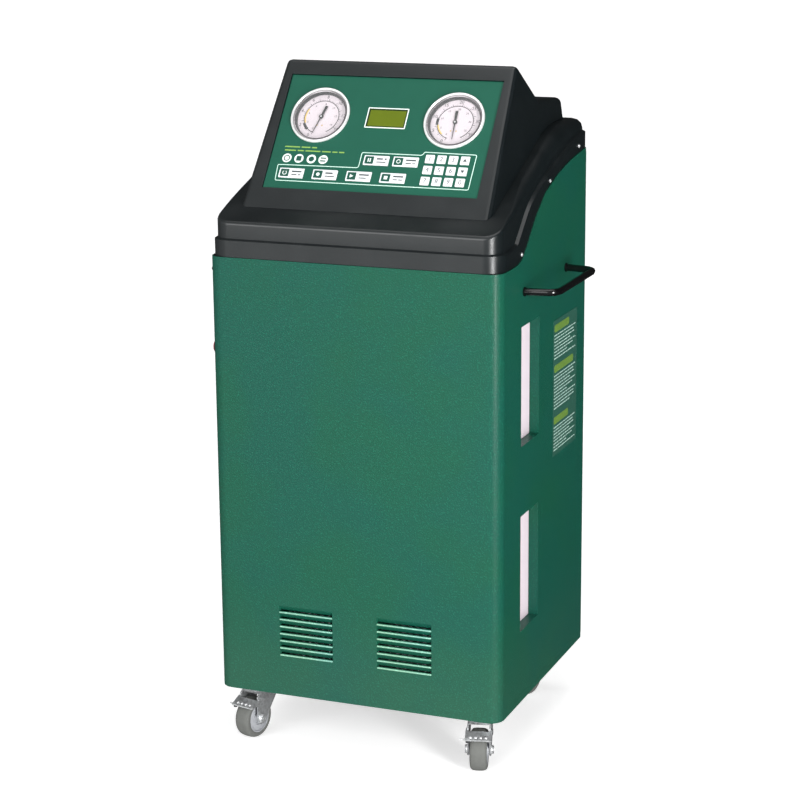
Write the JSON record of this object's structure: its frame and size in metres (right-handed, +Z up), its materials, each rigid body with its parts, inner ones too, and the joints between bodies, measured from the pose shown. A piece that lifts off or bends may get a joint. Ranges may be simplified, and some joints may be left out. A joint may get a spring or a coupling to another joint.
{
  "type": "refrigerant recovery machine",
  "caption": "Wheeled refrigerant recovery machine: green steel cabinet, black moulded top, tilted console with gauges and keys, side sight windows and handles.",
  "frame": {"origin": "on the floor, under the middle of the machine's bounding box", "axes": "+Z up; -Y is the front with the louvres and console; +X is the side with the sight windows, on the right of someone facing the front"},
  "size_m": [0.616, 0.4616, 1.1282],
  "materials": {
    "green_paint": "fine textured powder coat, deep green",
    "black_moulding": "moulded black plastic, satin",
    "panel_green": "smooth green printed plate",
    "key_face": "pale satin key",
    "display_green": "glossy yellow-green display",
    "gauge_metal": "polished pale metal",
    "clear_lens": "clear glass",
    "needle_black": "black paint",
    "black_tube": "gloss black tube",
    "zinc": "bright zinc plate",
    "grey_tread": "grey satin tread",
    "stop_red": "satin red",
    "white_bottle": "milky white plastic",
    "black_steel": "black enamel",
    "tank_paint": "light grey paint",
    "copper": "bare copper",
    "aluminium": "mill finish",
    "brass": "machined brass"
  },
  "bodies": {
    "cabinet": {"base_pan": "black_steel", "cabinet_shell": "green_paint", "top_cover": "black_moulding", "console_housing": "black_moulding", "control_panel": "panel_green", "display_window": "display_green", "gauge_low": "gauge_metal", "gauge_high": "gauge_metal", "gauge_lens_low": "clear_lens", "gauge_lens_high": "clear_lens", "handle_left": "black_tube", "handle_right": "black_tube", "oil_bottle_upper": "white_bottle", "oil_bottle_lower": "white_bottle", "refrigerant_tank": "tank_paint", "scale_platform": "aluminium", "compressor": "black_steel", "vacuum_pump": "aluminium", "condenser": "aluminium", "filter_drier": "copper", "power_inlet": "black_moulding", "service_ports": "brass", "front_left_caster_plate": "zinc", "front_right_caster_plate": "zinc", "rear_left_caster_plate": "zinc", "rear_right_caster_plate": "zinc"},
    "front_left_fork": {"front_left_caster_fork": "zinc"},
    "front_left_wheel_body": {"front_left_wheel": "grey_tread"},
    "front_left_brake": {"front_left_brake_pedal": "zinc"},
    "front_right_fork": {"front_right_caster_fork": "zinc"},
    "front_right_wheel_body": {"front_right_wheel": "grey_tread"},
    "front_right_brake": {"front_right_brake_pedal": "zinc"},
    "rear_left_fork": {"rear_left_caster_fork": "zinc"},
    "rear_left_wheel_body": {"rear_left_wheel": "grey_tread"},
    "rear_right_fork": {"rear_right_caster_fork": "zinc"},
    "rear_right_wheel_body": {"rear_right_wheel": "grey_tread"},
    "rear_door_body": {"rear_door": "green_paint"},
    "door_lock_body": {"door_lock": "zinc"},
    "stop_button_body": {"stop_button": "stop_red"},
    "needle_low_body": {"needle_low": "needle_black"},
    "needle_high_body": {"needle_high": "needle_black"},
    "key_1_body": {"key_1": "key_face"},
    "key_2_body": {"key_2": "key_face"},
    "key_3_body": {"key_3": "key_face"},
    "key_up_body": {"key_up": "key_face"},
    "key_4_body": {"key_4": "key_face"},
    "key_5_body": {"key_5": "key_face"},
    "key_6_body": {"key_6": "key_face"},
    "key_down_body": {"key_down": "key_face"},
    "key_7_body": {"key_7": "key_face"},
    "key_8_body": {"key_8": "key_face"},
    "key_9_body": {"key_9": "key_face"},
    "key_0_body": {"key_0": "key_face"},
    "function_key_1_body": {"function_key_1": "key_face"},
    "function_key_2_body": {"function_key_2": "key_face"},
    "function_key_3_body": {"function_key_3": "key_face"},
    "function_key_4_body": {"function_key_4": "key_face"},
    "function_key_5_body": {"function_key_5": "key_face"},
    "function_key_6_body": {"function_key_6": "key_face"},
    "condenser_fan_body": {"condenser_fan": "black_steel"}
  },
  "joints": [
    {"name": "front_left_swivel", "type": "hinge", "parent": "cabinet", "child": "front_left_fork", "pos_m": [-0.199, -0.174, 0.08], "axis": [0, 0, 1], "continuous": true},
    {"name": "front_left_axle", "type": "hinge", "parent": "front_left_fork", "child": "front_left_wheel_body", "pos_m": [-0.20395, -0.19544, 0.035], "axis": [0.9744, -0.225, 0], "continuous": true},
    {"name": "front_left_brake_pivot", "type": "hinge", "parent": "front_left_fork", "child": "front_left_brake", "pos_m": [-0.20237, -0.18862, 0.064], "axis": [0.9744, -0.225, 0], "range_deg": [0, 4], "stiffness_Nm_per_rad": 0.5},
    {"name": "front_right_swivel", "type": "hinge", "parent": "cabinet", "child": "front_right_fork", "pos_m": [0.199, -0.174, 0.08], "axis": [0, 0, 1], "continuous": true},
    {"name": "front_right_axle", "type": "hinge", "parent": "front_right_fork", "child": "front_right_wheel_body", "pos_m": [0.20469, -0.19525, 0.035], "axis": [0.9659, 0.2588, 0], "continuous": true},
    {"name": "front_right_brake_pivot", "type": "hinge", "parent": "front_right_fork", "child": "front_right_brake", "pos_m": [0.20288, -0.18849, 0.064], "axis": [0.9659, 0.2588, 0], "range_deg": [0, 4], "stiffness_Nm_per_rad": 0.5},
    {"name": "rear_left_swivel", "type": "hinge", "parent": "cabinet", "child": "rear_left_fork", "pos_m": [-0.1735, 0.174, 0.08], "axis": [0, 0, 1], "continuous": true},
    {"name": "rear_left_axle", "type": "hinge", "parent": "rear_left_fork", "child": "rear_left_wheel_body", "pos_m": [-0.16455, 0.1539, 0.035], "axis": [0.9135, 0.4067, 0], "continuous": true},
    {"name": "rear_right_swivel", "type": "hinge", "parent": "cabinet", "child": "rear_right_fork", "pos_m": [0.1735, 0.174, 0.08], "axis": [0, 0, 1], "continuous": true},
    {"name": "rear_right_axle", "type": "hinge", "parent": "rear_right_fork", "child": "rear_right_wheel_body", "pos_m": [0.16818, 0.15265, 0.035], "axis": [0.9703, -0.2419, 0], "continuous": true},
    {"name": "rear_door_hinge", "type": "hinge", "parent": "cabinet", "child": "rear_door_body", "pos_m": [-0.2535, 0.219, 0.52], "axis": [0, 0, 1], "range_deg": [0, 110]},
    {"name": "door_lock_turn", "type": "hinge", "parent": "rear_door_body", "child": "door_lock_body", "pos_m": [0.2225, 0.2228, 0.56], "axis": [0, 1, 0], "range_deg": [0, 90]},
    {"name": "stop_button_press", "type": "slide", "parent": "cabinet", "child": "stop_button_body", "axis": [1, 0, 0], "range_m": [0, 0.004], "stiffness_N_per_m": 600},
    {"name": "needle_low_turn", "type": "hinge", "parent": "cabinet", "child": "needle_low_body", "pos_m": [-0.1163, -0.06757, 1.04553], "axis": [0, 0.7965, -0.6046], "range_deg": [0, 300], "stiffness_Nm_per_rad": 0.002},
    {"name": "needle_high_turn", "type": "hinge", "parent": "cabinet", "child": "needle_high_body", "pos_m": [0.1163, -0.06757, 1.04553], "axis": [0, 0.7965, -0.6046], "range_deg": [0, 300], "stiffness_Nm_per_rad": 0.002},
    {"name": "key_1_press", "type": "slide", "parent": "cabinet", "child": "key_1_body", "axis": [0, 0.7965, -0.6046], "range_m": [0, 0.0006], "stiffness_N_per_m": 1500},
    {"name": "key_2_press", "type": "slide", "parent": "cabinet", "child": "key_2_body", "axis": [0, 0.7965, -0.6046], "range_m": [0, 0.0006], "stiffness_N_per_m": 1500},
    {"name": "key_3_press", "type": "slide", "parent": "cabinet", "child": "key_3_body", "axis": [0, 0.7965, -0.6046], "range_m": [0, 0.0006], "stiffness_N_per_m": 1500},
    {"name": "key_up_press", "type": "slide", "parent": "cabinet", "child": "key_up_body", "axis": [0, 0.7965, -0.6046], "range_m": [0, 0.0006], "stiffness_N_per_m": 1500},
    {"name": "key_4_press", "type": "slide", "parent": "cabinet", "child": "key_4_body", "axis": [0, 0.7965, -0.6046], "range_m": [0, 0.0006], "stiffness_N_per_m": 1500},
    {"name": "key_5_press", "type": "slide", "parent": "cabinet", "child": "key_5_body", "axis": [0, 0.7965, -0.6046], "range_m": [0, 0.0006], "stiffness_N_per_m": 1500},
    {"name": "key_6_press", "type": "slide", "parent": "cabinet", "child": "key_6_body", "axis": [0, 0.7965, -0.6046], "range_m": [0, 0.0006], "stiffness_N_per_m": 1500},
    {"name": "key_down_press", "type": "slide", "parent": "cabinet", "child": "key_down_body", "axis": [0, 0.7965, -0.6046], "range_m": [0, 0.0006], "stiffness_N_per_m": 1500},
    {"name": "key_7_press", "type": "slide", "parent": "cabinet", "child": "key_7_body", "axis": [0, 0.7965, -0.6046], "range_m": [0, 0.0006], "stiffness_N_per_m": 1500},
    {"name": "key_8_press", "type": "slide", "parent": "cabinet", "child": "key_8_body", "axis": [0, 0.7965, -0.6046], "range_m": [0, 0.0006], "stiffness_N_per_m": 1500},
    {"name": "key_9_press", "type": "slide", "parent": "cabinet", "child": "key_9_body", "axis": [0, 0.7965, -0.6046], "range_m": [0, 0.0006], "stiffness_N_per_m": 1500},
    {"name": "key_0_press", "type": "slide", "parent": "cabinet", "child": "key_0_body", "axis": [0, 0.7965, -0.6046], "range_m": [0, 0.0006], "stiffness_N_per_m": 1500},
    {"name": "function_key_1_press", "type": "slide", "parent": "cabinet", "child": "function_key_1_body", "axis": [0, 0.7965, -0.6046], "range_m": [0, 0.0006], "stiffness_N_per_m": 1500},
    {"name": "function_key_2_press", "type": "slide", "parent": "cabinet", "child": "function_key_2_body", "axis": [0, 0.7965, -0.6046], "range_m": [0, 0.0006], "stiffness_N_per_m": 1500},
    {"name": "function_key_3_press", "type": "slide", "parent": "cabinet", "child": "function_key_3_body", "axis": [0, 0.7965, -0.6046], "range_m": [0, 0.0006], "stiffness_N_per_m": 1500},
    {"name": "function_key_4_press", "type": "slide", "parent": "cabinet", "child": "function_key_4_body", "axis": [0, 0.7965, -0.6046], "range_m": [0, 0.0006], "stiffness_N_per_m": 1500},
    {"name": "function_key_5_press", "type": "slide", "parent": "cabinet", "child": "function_key_5_body", "axis": [0, 0.7965, -0.6046], "range_m": [0, 0.0006], "stiffness_N_per_m": 1500},
    {"name": "function_key_6_press", "type": "slide", "parent": "cabinet", "child": "function_key_6_body", "axis": [0, 0.7965, -0.6046], "range_m": [0, 0.0006], "stiffness_N_per_m": 1500},
    {"name": "condenser_fan_spin", "type": "hinge", "parent": "cabinet", "child": "condenser_fan_body", "pos_m": [0, -0.128, 0.1773], "axis": [0, 1, 0], "continuous": true}
  ]
}
